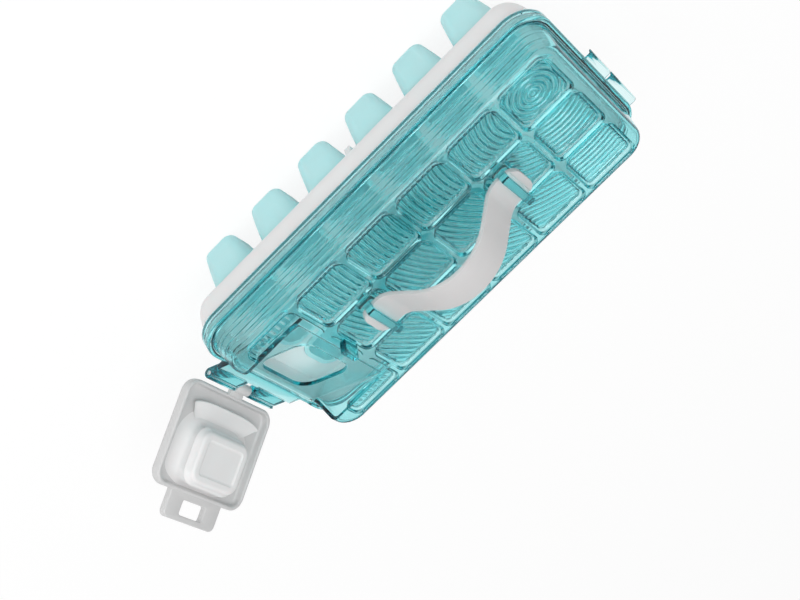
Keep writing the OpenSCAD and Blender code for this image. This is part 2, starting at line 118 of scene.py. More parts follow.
# Thick edge, rib and dark line, which keep a gap to the cover; the foot edge and the line are dark rings of
# dense tint that paint in shade, and the rib shares the edge's tint
EDGE_H = 2.5
EDGE_GAP = 0.05
LINE_GAP = 0.12
SEAL_RIB = (15.0, 15.7)
SEAL_CLEARANCE = 0.4
DOORWAY_HALF = 46.0

# Fine lines inside the long walls, fuller beside each cup and fading round the corners
LINE_STEPS = 64
LINE_PITCHES = (2.3, 3.7)
LINE_DEPTH = 0.22
LINE_MARGIN = 0.5
LINE_SWELL = (0.7, 0.3)
LINE_FADE = 3

# Wells in the face, the groove around each and the ripples in their floors
WELL_HALF = 17.25
WELL_R = 5.5
WELL_DEPTH = 3.2
WELL_LIP = 0.3
WELL_SIDE = 2.0
GROOVE_INSET = -0.5
GROOVE_HALF = 0.35
GROOVE_DEPTH = 0.8
RIPPLE_PITCH = 3.7
RIPPLE_HEIGHT = 1.2
RIPPLE_UNDER = 0.7
RIPPLE_MEAN = 0.5
RIPPLE_FADE = 1.0
RIPPLE_WEAK = 0.3
RIPPLE_CENTRE = np.array((COLUMN_X[-1], ROW_Y[-1]))
RIPPLE_SHIFT = np.array((-0.4, -1.6))

# Grid lines across the face, per well, and from the wells to the rim
GROOVE_LINES = 6
SIDE_LINES = 8
FLOOR_LINES = 72
FLOOR_MARGIN = 0.4
RIM_MARGIN = 0.3
RIM_LINES = 4
RIM_NARROW = 2.0

# Strap bars and the beds that they stand on
BAR_X = 51.5
BAR_W = 5.0
BAR_T = 2.8
BAR_L = 31.0
POST_W = 2.2
BED_HALF = 4.5
BED_R = 2.0

# Seat, mouth, sill and hinge
SEAT_SLOPE = math.radians(25)
SEAT_LIFT = 2.6
POCKET_HALF = 41.0
POCKET_EDGE = 2.0
POCKET_WALL = 1.0
SEAT_TOP = (SEAT_LIFT, POCKET_HALF)
SEAT_UNDER = (SEAT_LIFT - COVER_WALL, POCKET_HALF + POCKET_WALL)
MOUTH_S = 27.47
MOUTH_L = 36.0
MOUTH_W = 46.0
MOUTH_R = 10.0
MOUTH_CUT = 24.0
SILL_OUT = -136.5
SILL_IN = -128.2
SILL_DROP = 0.25
SILL_W = 68.0
OPEN_ANGLE = math.radians(121)
KNUCKLE_R = 3.4
KNUCKLE_Y = 18.0
KNUCKLE_W = 24.0
KNUCKLE_REACH = 9.3
KNUCKLE_DROP = 0.4
KNUCKLE_BORE_R = 1.27

# Finger tabs: end and length of each along the rim, then their section
TABS = ((5.0, 24.0), (-21.5, 31.0))
TAB_OUT = 5.0
TAB_H = 4.5
TAB_WALL = 1.2
TAB_ROOT = 1.2
TAB_CURL = -20
TAB_CURL_INSIDE = -10

# Tray frame and seal
DECK_LOW = 38.0
DECK_TOP = 40.0
DECK_FILLET = (0.6, 1.0)
BAND_FOOT = 34.0
BAND_DRAFT = 5.6
BAND_BASE = BAND_OUT - BAND_DRAFT
BAND_STRAIGHT = 1.0
BAND_CUT = 0.8
BAND_ROUND = 0.6
CURVE_START = 0.4
CURVE_POINTS = 25
FRAME_WALL = 2.4
OPENING_W = 31.0
OPENING_R = 10.0
RIB_T = 4.2
RIB_OVERLAP = 0.4
RIB_ROOT = 0.5
SEAL_IN = 14.2
SEAL_OUT = 16.0
SEAL_BASE = 0.7
SEAL_CUT = 0.2

# Cups: half widths at foot, top and neck, and half the flat of their sides
CUP_FLAT = 5.5
CUP_FOOT = 11.0
CUP_TOP = 16.5
CUP_NECK = 15.45
CUP_WALL = 1.6
CUP_FOOT_R = 3.0
CUP_INNER_R = 2.0
CUP_SPREAD = 0.4
CUP_DRAFT = 8
CUP_BULGE = 0.5
CUP_SHOULDER = (0.3, 0.5)
CUP_STEPS = 14
COLLAR_TOP = 41.2
COLLAR_ROUND = 0.6
COLLAR_CUT = 0.1
COLLAR_IN = 0.4

# Strap
ARCH_HALF = 47.4
ARCH_RISE = 26.4
ARCH_TOP_R = 36.0
ARCH_FOOT_R = 15.0
ARCH_TOP_POINTS = 25
ARCH_FOOT_POINTS = 15
STRAP_T = 2.2
STRAP_END_R = 8.0
STOP_L = 4.6
STOP_H = 0.9
STOP_SLANT = 0.6
PLAN_DEPTH = 100.0

# Hatch, with heights square to the seat
HATCH_START = 5.0
HATCH_END = 67.97
HATCH_W = 76.0
HATCH_R = 9.0
HATCH_LOW = 2.9
LIP_W = 2.5
LIP_H = 5.0
PANEL_T = 2.2
PANEL_N = HATCH_LOW + LIP_H
HATCH_BACK = PANEL_N + PANEL_T
HATCH_FILLET = 1.6
BACK_ROUND = 3.0
BARREL_W = 11.2
BARREL_BORE_R = 1.31
ARM_ANGLE = math.radians(30)
LOOP_L = 16.0
LOOP_W = 44.0
LOOP_T = 4.4
LOOP_R = 4.0
LOOP_RISE = 0.4
LOOP_LOW = HATCH_LOW + LOOP_RISE
SLOT_L = 9.0
SLOT_W = 20.0
SLOT_R = 1.5
CATCH_S = HATCH_END + LOOP_L / 2
CATCH_L = 4.0
CATCH_W = 14.0
CATCH_R = 1.4
CATCH_LOW = -2.0
CATCH_HIGH = 8.2

# Plug: the dish is (inward, up) points from the plug's end
PLUG_GAP = 0.5
PLUG_L = 8.0
PLUG_ROOT = MOUTH_R - PLUG_GAP
PLUG_END = SEAT_LIFT - PLUG_L
PLUG_END_R = 2.5
PLUG_DRAFT = 2.0
PLUG_DISH = ((6.5, 0.9), (5.6, 0.8), (4.8, 0.1))
BEAD = 0.8
BEAD_N = SEAT_LIFT - COVER_WALL
BEAD_CUT = 0.1
FLARE_W = 9.0
FLARE_H = 4.4
FLARE_FREE = 2.6
FLARE_STEPS = 10

# Flap by the hinge side of the plug
FLAP_OUT = 13.0
FLAP_IN = 1.0
FLAP_START = MOUTH_S - FLAP_OUT
FLAP_ROOT = MOUTH_S + FLAP_IN
FLAP_HALF = 29.0
FLAP_T = 0.9
FLAP_RISE = 0.1
FLAP_TOP = HATCH_LOW + FLAP_RISE
FLAP_CUT = 0.3
FLAP_SWEEP = 3.0
FLAP_SWEEP_POWER = 4
FLAP_TAPER_POWER = 5
FLAP_LEAST = 0.05
FLAP_STEPS = 10
FLAP_SECTIONS = 41

# Light and view: lamps and camera in metres and watts, the floor in millimetres
FLOOR_HALF = 6000.0
FLOOR_GREY = 0.88
FLOOR_GLOW = 1.04
FLOOR_SHARE = 0.85
SKY_DIM = 0.464
SKY_LEVELS = {"Is Camera Ray": (1.0, 1.0), "Is Glossy Ray": (0.32, 1.28), "Is Transmission Ray": (0.2, 1.84)}
LAMPS = {"key": ((0.2, 1.0, 1.4), 1.2, 13), "fill": ((-1.0, 0.8, 0.9), 1.0, 4)}
LAMP_TARGET = (0, 0, 0.05)
VIEW_PLACE = Vector((119.7, 657.1, 610.2)) * MM
VIEW_RIGHT = Vector((0.7019, -0.5387, 0.4658))
VIEW_FORWARD = Vector((-0.1821, -0.7681, -0.6139))
VIEW_LENS = 69.2
VIEW_SENSOR = 36.0
CLEAR_BOUNCES = 64
DIFFUSE_BOUNCES = 8

# Meshes


def mesh_object(name, verts, faces):
    """A new object from points in millimetres."""
    mesh = bpy.data.meshes.new(name)
    mesh.from_pydata((np.asarray(verts, float) * MM).tolist(), [], faces)
    work = bmesh.new()
    work.from_mesh(mesh)
    bmesh.ops.recalc_face_normals(work, faces=work.faces)
    work.to_mesh(mesh)
    work.free()
    obj = bpy.data.objects.new(name, mesh)
    bpy.context.scene.collection.objects.link(obj)
    return obj


def apply_modifiers(obj):
    """Makes the shape that the modifiers give the object's own mesh."""
    graph = bpy.context.evaluated_depsgraph_get()
    mesh = bpy.data.meshes.new_from_object(obj.evaluated_get(graph))
    obj.modifiers.clear()
    obj.data = mesh
    return obj


def bevelled(obj, width, segments=3, angle=40):
    """Rounds the edges that are sharper than an angle in degrees."""
    modifier = obj.modifiers.new("round edges", "BEVEL")
    modifier.width = width * MM
    modifier.segments = segments
    modifier.limit_method = "ANGLE"
    modifier.angle_limit = math.radians(angle)
    return apply_modifiers(obj)


def combined(obj, other, operation):
    """Adds or cuts another closed object, which is used up."""
    modifier = obj.modifiers.new("combine", "BOOLEAN")
    modifier.operation = operation
    modifier.solver = "EXACT"
    modifier.object = other
    apply_modifiers(obj)
    bpy.data.objects.remove(other)
    return obj


def joined(objects, name):
    """One object from several that don't touch."""
    work = bmesh.new()
    for obj in objects:
        mesh = obj.data
        mesh.transform(obj.matrix_world)
        work.from_mesh(mesh)
        bpy.data.objects.remove(obj)
    mesh = bpy.data.meshes.new(name)
    work.to_mesh(mesh)
    work.free()
    whole = bpy.data.objects.new(name, mesh)
    bpy.context.scene.collection.objects.link(whole)
    return whole


def smooth(obj, angle=35):
    """Smooth shading, broken at edges sharper than an angle in degrees."""
    mesh = obj.data
    mesh.polygons.foreach_set("use_smooth", [True] * len(mesh.polygons))
    mesh.set_sharp_from_angle(angle=math.radians(angle))
    return obj


def arc(centre, radius, start, end, steps=8):
    """Points of an arc, angles in degrees."""
    angles = np.radians(np.linspace(start, end, steps + 1))
    return [(centre[0] + radius * math.cos(a), centre[1] + radius * math.sin(a)) for a in angles]


def rounded_stations(half_x, half_y, steps=10):
    """Corner centres and outward directions around a rounded rectangle."""
    stations = []
    for quarter, (sx, sy) in enumerate([(1, 1), (-1, 1), (-1, -1), (1, -1)]):
        for step in range(steps + 1):
            a = math.pi / 2 * (quarter + step / steps)
            stations.append((sx * half_x, sy * half_y, math.cos(a), math.sin(a)))
    return stations


def rim_stations():
    return rounded_stations(CORNER_X, CORNER_Y, steps=16)


def rounded_outline(length, width, r, steps=8):
    stations = rounded_stations(length / 2 - r, width / 2 - r, steps)
    return [(cx + r * dx, cy + r * dy) for cx, cy, dx, dy in stations]


def ring(stations, rho, z):
    return [(cx + rho * dx, cy + rho * dy, z) for cx, cy, dx, dy in stations]


def ring_faces(first, second, count):
    """Faces between two rings of points, which start at these places in the list."""
    return [
        (first + i, first + (i + 1) % count, second + (i + 1) % count, second + i)
        for i in range(count)
    ]


def stacked_faces(rings, count, closed=False):
    """Faces of rings in a row, joined end to start or capped at both ends."""
    last = (rings - 1) * count
    faces = [face for i in range(rings - 1) for face in ring_faces(i * count, (i + 1) * count, count)]
    if closed:
        return faces + ring_faces(last, 0, count)
    return faces + [tuple(range(count)), tuple(range(last, last + count))]


def swept_solid(name, stations, profile, closed=False):
    """Sweeps a profile of (outward, height) points round the stations."""
    verts = [point for rho, z in profile for point in ring(stations, rho, z)]
    return mesh_object(name, verts, stacked_faces(len(profile), len(stations), closed))


def prism(name, outline, depth, place):
    """Extrudes an outline; place turns (u, v, depth) into a point."""
    verts = [place(u, v, w) for w in (-depth / 2, depth / 2) for u, v in outline]
    return mesh_object(name, verts, stacked_faces(2, len(outline)))


def hinge_matrix(opening):
    """Turns (up the slope, along the hinge, square to the seat) into the frame, in millimetres."""
    place = Matrix.Translation((HINGE_X, 0, HINGE_Z))
    return place @ Matrix.Rotation(-SEAT_SLOPE - opening, 4, "Y")


CLOSED = hinge_matrix(0)
OPENED = hinge_matrix(OPEN_ANGLE)


def moved(obj, matrix):
    """Moves a mesh by a matrix in millimetres."""
    scaled = matrix.copy()
    scaled.translation *= MM
    obj.data.transform(scaled)
    return obj


def hinge_bore(radius, width, middle=0.0):
    """Cutter along the hinge's axis."""
    circle = arc((0, 0), radius, 0, 360, steps=32)[:-1]
    return prism("bore", circle, width, lambda u, v, w: (u, middle + w, v))


# Face of the cover


def smoothstep(low, high, value):
    t = np.clip((value - low) / (high - low), 0, 1)
    return t * t * (3 - 2 * t)


def seat_height(x, lift):
    """Height of a plane parallel to the seat, that far above the line through the hinge."""
    return HINGE_Z + (lift + (x - HINGE_X) * math.sin(SEAT_SLOPE)) / math.cos(SEAT_SLOPE)


def sunk(x, y, z, lift, half):
    """Lowers points to the seat where its pocket is."""
    inside = smoothstep(half + POCKET_EDGE, half - POCKET_EDGE, np.abs(y)) * (x < 0)
    return z - inside * np.maximum(0, z - seat_height(x, lift))


def block_distance(x, y, half_x, half_y, r):
    """Distance outside a rounded rectangle about the origin, negative inside it."""
    qx = np.abs(x) - half_x + r
    qy = np.abs(y) - half_y + r
    return np.hypot(np.maximum(qx, 0), np.maximum(qy, 0)) + np.minimum(np.maximum(qx, qy), 0) - r


def whole_inset(x, y):
    """How far inside a well a point is, negative on the webs between the wells."""
    inset = np.full_like(x, -PITCH)
    for row in ROW_Y:
        for column in COLUMN_X:
            inset = np.maximum(inset, -block_distance(x - column, y - row, WELL_HALF, WELL_HALF, WELL_R))
    return inset


def well_inset(x, y):
    """The same for wells cut short by the pocket's edge and the strap bars' beds."""
    inset = whole_inset(x, y)
    pocket_end = HINGE_X + ((FACE_Z - HINGE_Z) * math.cos(SEAT_SLOPE) - SEAT_LIFT) / math.sin(SEAT_SLOPE)
    pocket_x = pocket_end + 2 * COVER_WALL
    pocket_y = POCKET_HALF + COVER_WALL
    inset = np.minimum(inset, np.maximum(x - pocket_x, np.abs(y) - pocket_y))
    for side in (-1, 1):
        inset = np.minimum(inset, block_distance(x - GRID_X - side * BAR_X, y, BED_HALF, BAR_L / 2, BED_R))
    return inset


def ripple(x, y, centre):
    """Round crests with sharp grooves between them, in rings about a point."""
    distance = np.hypot(x - centre[0], y - centre[1])
    return np.abs(np.sin(math.pi * distance / RIPPLE_PITCH)) - RIPPLE_MEAN


def well_depth(inset):
    """Share of the wells' depth: a rounded lip, a leaning side and a fillet."""
    return smoothstep(-WELL_LIP, WELL_SIDE, inset)


def floor_ripple(x, y, inset, centre):
    """Ripples of the wells' floors, weak in the narrow wells beside the pocket."""
    floor = smoothstep(WELL_SIDE - RIPPLE_FADE, WELL_SIDE + RIPPLE_FADE, inset)
    return np.where(x < COLUMN_X[0] + PITCH / 2, RIPPLE_WEAK, 1) * floor * ripple(x, y, centre)


def face_height(x, y):
    """Face with its wells, and a fine groove around each of them."""
    inset = well_inset(x, y)
    whole = whole_inset(x, y)
    around = smoothstep(GROOVE_HALF, 0, np.abs(whole - GROOVE_INSET))
    groove = around * smoothstep(GROOVE_HALF, 0, whole - inset)
    wells = RIPPLE_HEIGHT * floor_ripple(x, y, inset, RIPPLE_CENTRE) - WELL_DEPTH * well_depth(inset)
    return FACE_Z + wells - GROOVE_DEPTH * groove


def ceiling_height(x, y):
    """Underside of the face, which follows the wells."""
    inset = well_inset(x, y)
    ripples = floor_ripple(x, y, inset, RIPPLE_CENTRE + RIPPLE_SHIFT)
    return CEILING_Z - RIPPLE_UNDER * ripples - WELL_DEPTH * well_depth(inset)


def cover_lines(centres, limit):
    """Grid lines across the face: close at the wells' sides, and close enough for the ripples inside."""
    groove = np.linspace(GROOVE_INSET - GROOVE_HALF, GROOVE_INSET + GROOVE_HALF, GROOVE_LINES + 1)[:-1]
    edge = [WELL_HALF - inset for inset in (*groove, *np.linspace(0, WELL_SIDE, SIDE_LINES))]
    half = PITCH / 2
    floor = WELL_HALF - WELL_SIDE - FLOOR_MARGIN
    inner = np.linspace(-floor, floor, FLOOR_LINES)
    offsets = [-half] + [-e for e in edge] + list(inner) + edge[::-1]
    lines = [centre + offset for centre in centres for offset in offsets] + [centres[-1] + half]
    kept = [line for line in sorted(lines) if abs(line) < limit - RIM_MARGIN]
    low, high = [-limit], [limit]
    if kept[0] + limit > RIM_NARROW:
        low = list(np.linspace(-limit, kept[0], RIM_LINES + 1)[:-1])
    if limit - kept[-1] > RIM_NARROW:
        high = list(np.linspace(kept[-1], limit, RIM_LINES + 1)[1:])
    return np.array(low + kept + high)


def face_grid():
    """Plan of the face: a grid whose corners are drawn in to the rounded rim."""
    xs = cover_lines(COLUMN_X, CORNER_X + CAP_R)
    ys = cover_lines(ROW_Y, CORNER_Y + CAP_R)
    gx, gy = np.meshgrid(xs, ys, indexing="ij")
    u = np.clip((np.abs(gx) - CORNER_X) / CAP_R, 0, 1)
    v = np.clip((np.abs(gy) - CORNER_Y) / CAP_R, 0, 1)
    px = np.sign(gx) * (np.minimum(np.abs(gx), CORNER_X) + CAP_R * u * np.sqrt(1 - v * v / 2))
    py = np.sign(gy) * (np.minimum(np.abs(gy), CORNER_Y) + CAP_R * v * np.sqrt(1 - u * u / 2))
    return px, py


def grid_border(nx, ny):
    """Both indices of a grid's border points, in order around it."""
    border = [(i, 0) for i in range(nx)] + [(nx - 1, j) for j in range(1, ny)]
    border += [(i, ny - 1) for i in range(nx - 2, -1, -1)] + [(0, j) for j in range(ny - 2, 0, -1)]
    return tuple(np.array(border).T)


# Cover


def outer_profile():
    """Outside of the cover, from the face's edge down to the skirt's foot."""
    profile = arc((CAP_R, FACE_Z - FACE_ROUND), FACE_ROUND, 90, math.degrees(LEAN), steps=10)[1:]
    top_rho, top_z = profile[-1]
    low_z = LEDGE_Z + WALL_RISE
    for t in np.linspace(1, 0, WALL_STEPS + 1)[1:]:
        profile.append((WALL_FOOT - WALL_SHIFT + t * (top_rho - WALL_FOOT), low_z + t * (top_z - low_z)))
    profile += arc((WALL_FOOT + FOOT_FILLET, LEDGE_Z + FOOT_FILLET), FOOT_FILLET, 180, 270, steps=4)
    profile += [(WALL_FOOT + rho, LEDGE_Z + rise) for rho, rise in LEDGE_GROOVE]
    profile += arc((RIM_R - RIM_ROUND, LEDGE_Z - RIM_ROUND), RIM_ROUND, 90, 0, steps=6)
    profile += [(RIM_R - rho, SKIRT_FOOT + rise) for rho, rise in SKIRT_GROOVE + FOOT_CHAMFER]
    return profile


def ceiling_round():
    """Round between the inside of the wall and the ceiling."""
    return arc((CAP_R, CEILING_Z - INNER_ROUND), INNER_ROUND, math.degrees(LEAN), 90)


def inner_profile():
    """Inside of the cover, from the skirt's foot up to the ceiling's edge."""
    cut_rho, cut_z = SKIRT_CUT
    thin_top, thick_foot = SKIRT_STEP
    top_rho, top_z = ceiling_round()[0]
    profile = [(SKIRT_IN + cut_rho, SKIRT_FOOT), (SKIRT_IN, SKIRT_FOOT + cut_z)]
    profile += [(SKIRT_IN, SKIRT_FOOT + thin_top), (SKIRT_THICK, SKIRT_FOOT + thick_foot)]
    profile += [(SKIRT_THICK, CHANNEL_Z), (INNER_FOOT, CHANNEL_Z)]
    for t in np.linspace(0, 1, LINE_STEPS + 1)[1:-1]:
        profile.append((INNER_FOOT + t * (top_rho - INNER_FOOT), CHANNEL_Z + t * (top_z - CHANNEL_Z)))
    return profile + ceiling_round()[:-1]


def wall_lines(z, base_x, out_y):
    """Depth of the fine lines inside the long walls."""
    top_z = ceiling_round()[0][1]
    if not CHANNEL_Z + LINE_MARGIN < z < top_z:
        return np.zeros_like(base_x)
    middle, span = LINE_SWELL
    swell = middle + span * np.cos(2 * math.pi * (base_x - COLUMN_X[0]) / PITCH)
    waves = sum(math.sin(2 * math.pi * (z - CHANNEL_Z) / pitch) for pitch in LINE_PITCHES)
    return LINE_DEPTH * waves * swell * np.abs(out_y) ** LINE_FADE


def layer(x, y, z, lift, half):
    """Points of one grid or ring of the cover, sunk into the pocket."""
    return np.column_stack([x.ravel(), y.ravel(), sunk(x, y, z, lift, half).ravel()])


def shell_rings(px, py, border):
    """Rings down the outside and up the inside of the cover, about the face's border."""
    base_x = np.clip(px[border], -CORNER_X, CORNER_X)
    base_y = np.clip(py[border], -CORNER_Y, CORNER_Y)
    out_x = (px[border] - base_x) / CAP_R
    out_y = (py[border] - base_y) / CAP_R
    rings = []
    for rho, z in outer_profile():
        rings.append(layer(base_x + rho * out_x, base_y + rho * out_y, z, *SEAT_TOP))
    for rho, z in inner_profile():
        lined = rho + wall_lines(z, base_x, out_y)
        rings.append(layer(base_x + lined * out_x, base_y + lined * out_y, z, *SEAT_UNDER))
    return rings


def shell_faces(nx, ny, border, rings):
    """Faces of the face grid, the rings and the ceiling grid, whose points follow in that order."""
    bi, bj = border
    count = len(bi)
    first_ring = nx * ny
    last_ring = first_ring + (rings - 1) * count
    ceiling = first_ring + rings * count
    faces = []
    for start in (0, ceiling):
        for i in range(nx - 1):
            row = start + i * ny
            faces += [(row + j, row + ny + j, row + ny + j + 1, row + j + 1) for j in range(ny - 1)]
    loop = (bi * ny + bj).tolist()
    for i in range(count):
        k = (i + 1) % count
        faces.append((loop[i], loop[k], first_ring + k, first_ring + i))
        faces.append((last_ring + i, last_ring + k, ceiling + loop[k], ceiling + loop[i]))
    for i in range(rings - 1):
        faces += ring_faces(first_ring + i * count, first_ring + (i + 1) * count, count)
    return faces


def cover_shell():
    """Closed shell: face grid, rings down the outside, rings up the inside, ceiling grid."""
    px, py = face_grid()
    border = grid_border(*px.shape)
    face = layer(px, py, face_height(px, py), *SEAT_TOP)
    rings = shell_rings(px, py, border)
    ceiling = layer(px, py, ceiling_height(px, py), *SEAT_UNDER)
    faces = shell_faces(*px.shape, border, len(rings))
    return mesh_object("clear_cover", np.concatenate([face, *rings, ceiling]), faces)


def mouth_cutter():
    middle = MOUTH_S + MOUTH_L / 2
    outline = rounded_outline(MOUTH_L, MOUTH_W, MOUTH_R)
    return moved(prism("mouth", outline, MOUTH_CUT, lambda u, v, w: (middle + u, v, SEAT_LIFT + w)), CLOSED)


def sill():
    """Ledge outside the mouth that carries the hinge."""
    outline = [(SILL_OUT, SKIRT_FOOT), (SILL_IN, SKIRT_FOOT)]
    outline += [(x, seat_height(x, SEAT_LIFT) - SILL_DROP) for x in (SILL_IN, SILL_OUT)]
    return bevelled(prism("sill", outline, SILL_W, lambda u, v, w: (u, w, v)), width=0.8)


def cover_knuckle(side):
    middle = side * KNUCKLE_Y
    arm = SEAT_LIFT - KNUCKLE_DROP
    outline = arc((0, 0), KNUCKLE_R, 90, 270, steps=16)
    outline += [(KNUCKLE_REACH, -KNUCKLE_R), (KNUCKLE_REACH, arm), (0, arm)]
    knuckle = prism("knuckle", outline, KNUCKLE_W, lambda u, v, w: (u, middle + w, v))
    bevelled(knuckle, width=0.5, segments=2)
    return moved(combined(knuckle, hinge_bore(KNUCKLE_BORE_R, 2 * KNUCKLE_W, middle), "DIFFERENCE"), CLOSED)


def catch():
    """Post in the loop's slot that holds the closed hatch."""
    outline = rounded_outline(CATCH_L, CATCH_W, CATCH_R)
    middle = (CATCH_LOW + CATCH_HIGH) / 2
    block = prism("catch", outline, CATCH_HIGH - CATCH_LOW, lambda u, v, w: (CATCH_S + u, v, middle + w))
    return moved(bevelled(block, width=0.6), CLOSED)


def pull_tab(start, length):
    """Finger tab on the skirt at the far end: a thin plate that curls down."""
    rim_end = CORNER_X + RIM_R
    r = TAB_H / 2
    curl = (rim_end + TAB_OUT - r, SKIRT_FOOT + SKIRT_H / 2)
    top = curl[1] + r
    root = rim_end - TAB_ROOT
    outline = [(root, top)] + arc(curl, r, 90, TAB_CURL, steps=16)
    outline += arc(curl, r - TAB_WALL, TAB_CURL_INSIDE, 90, steps=12) + [(root, top - TAB_WALL)]
    tab = prism("tab", outline, length, lambda u, v, w: (u, start - length / 2 + w, v))
    return bevelled(tab, width=0.3, segments=2, angle=60)


def clear_cover():
    cover = cover_shell()
    extras = [sill(), catch()] + [pull_tab(start, length) for start, length in TABS]
    combined(cover, joined(extras, "extras"), "UNION")
    combined(cover, joined([cover_knuckle(side) for side in (-1, 1)], "knuckles"), "UNION")
    combined(cover, mouth_cutter(), "DIFFERENCE")
    return smooth(cover, angle=38)


def chamfered(low_rho, high_rho, low_z, high_z, cut=0.1):
    """Outline of a rectangle with its corners cut, in (outward, height) points."""
    return [
        (low_rho, low_z + cut), (low_rho + cut, low_z), (high_rho - cut, low_z), (high_rho, low_z + cut),
        (high_rho, high_z - cut), (high_rho - cut, high_z), (low_rho + cut, high_z), (low_rho, high_z - cut),
    ]


def opened_rings(name, profiles):
    """Rings around the cover with these profiles, open at the seat."""
    rings = joined([swept_solid("ring", rim_stations(), profile, closed=True) for profile in profiles], name)
    near, far = -CORNER_X, -CORNER_X - 2 * RIM_R
    doorway = [(far, -DOORWAY_HALF), (near, -DOORWAY_HALF), (near, DOORWAY_HALF), (far, DOORWAY_HALF)]
    cutter = prism("doorway", doorway, 4 * RIM_R, lambda u, v, w: (u, v, SKIRT_FOOT + w))
    return smooth(combined(rings, cutter, "DIFFERENCE"))


def painted_shade_skirt_edges():
    """Thick inner edge at the foot of the skirt and the rib over the seal, in a dense tint: the dark edge is
    painted shade.
    """
    foot = chamfered(SKIRT_THICK, SKIRT_IN - EDGE_GAP, SKIRT_FOOT, SKIRT_FOOT + EDGE_H)
    rib = chamfered(*SEAL_RIB, SEAL_TOP + SEAL_CLEARANCE, CHANNEL_Z - EDGE_GAP)
    return opened_rings("painted_shade_skirt_edges", (foot, rib))


def painted_shade_foot_line():
    """Near-black ring in the groove at the foot of the wall: a painted shade line."""
    (left, _), (middle, bottom), (right, _) = LEDGE_GROOVE
    fill = [(left + LINE_GAP, -EDGE_GAP), (middle, bottom + LINE_GAP), (right - LINE_GAP, -EDGE_GAP)]
    return opened_rings("painted_shade_foot_line", [[(WALL_FOOT + rho, LEDGE_Z + rise) for rho, rise in fill]])


def strap_bar(side):
    """Bar on two posts that holds one end of the strap down."""
    low = FACE_Z + EDGE_GAP
    top = STRAP_BAR_TOP
    under = top - BAR_T
    half = BAR_L / 2
    inside = half - POST_W
    outline = [
        (-half, low), (-half, top), (half, top), (half, low),
        (inside, low), (inside, under), (-inside, under), (-inside, low),
    ]
    bar = prism("bar", outline, BAR_W, lambda u, v, w: (GRID_X + side * BAR_X + w, u, v))
    return bevelled(bar, width=0.9)


def strap_bars():
    return smooth(joined([strap_bar(side) for side in (-1, 1)], "strap_bars"))


# Tray frame, seal and cups


def band_profile():
    """Section of the band, with its curved side, and of the edge of the deck inside it."""
    base_in = BAND_BASE - FRAME_WALL
    curve_top = SKIRT_FOOT - BAND_STRAIGHT
    curve_h = curve_top - BAND_FOOT
    curve = [
        (BAND_BASE + BAND_DRAFT * math.sin(a), curve_top - curve_h * math.cos(a))
        for a in np.linspace(0, math.pi / 2, CURVE_POINTS)
    ]
    profile = [(base_in, DECK_LOW), (base_in, BAND_FOOT + BAND_CUT), (base_in + BAND_CUT, BAND_FOOT)]
    profile += [(BAND_BASE - BAND_CUT, BAND_FOOT)]
    profile += [(rho, z) for rho, z in curve if z > BAND_FOOT + CURVE_START]
    profile += arc((BAND_OUT - BAND_ROUND, BAND_TOP - BAND_ROUND), BAND_ROUND, 0, 90, steps=5)
    profile += [(BAND_OUT - FRAME_WALL, BAND_TOP)]
    fillet_rho, fillet_z = DECK_FILLET
    inner = [(rho - FRAME_WALL, z) for rho, z in reversed(curve) if z > DECK_TOP + fillet_z]
    return profile + inner + [(inner[-1][0] - fillet_rho, DECK_TOP)]


def deck_openings():
    """Cutters for one opening per cup."""
    outline = rounded_outline(OPENING_W, OPENING_W, OPENING_R)
    middle = (DECK_LOW + DECK_TOP) / 2
    depth = 4 * (DECK_TOP - DECK_LOW)
    cutters = [
        prism("opening", outline, depth, lambda u, v, w, p=place: (p[0] + u, p[1] + v, middle + w))
        for place in CUP_PLACES.values()
    ]
    return joined(cutters, "openings")


def cross_rib():
    """Rib under the deck, between the middle columns of cups."""
    reach = CORNER_Y + BAND_BASE - FRAME_WALL + RIB_OVERLAP
    shoulder = (BAND_FOOT - RIB_LOW) / 2
    outline = [(-reach, DECK_LOW + RIB_ROOT), (-reach, BAND_FOOT), (-reach + shoulder, RIB_LOW)]
    outline += [(-y, z) for y, z in reversed(outline)]
    rib = prism("rib", outline, RIB_T, lambda u, v, w: (GRID_X + w, u, v))
    return bevelled(rib, width=0.5, segments=2)


def tray_frame():
    """Band with its curved side, the deck with one opening per cup, and the cross rib."""
    body = swept_solid("frame_moulding", rim_stations(), band_profile())
    combined(body, deck_openings(), "DIFFERENCE")
    combined(body, cross_rib(), "UNION")
    return smooth(body)


def rim_gasket():
    """Seal on the band's top: a flat base with a round bead."""
    middle = (SEAL_IN + SEAL_OUT) / 2
    flat = BAND_TOP + SEAL_BASE
    bead = arc((middle, flat), SEAL_TOP - flat, 0, 180)
    profile = [(SEAL_IN, BAND_TOP), (SEAL_OUT, BAND_TOP)]
    profile += [(SEAL_OUT, flat - SEAL_CUT), (SEAL_OUT - SEAL_CUT, flat)]
    profile += bead + [(SEAL_IN + SEAL_CUT, flat), (SEAL_IN, flat - SEAL_CUT)]
    return smooth(swept_solid("rim_gasket", rim_stations(), profile, closed=True), angle=50)


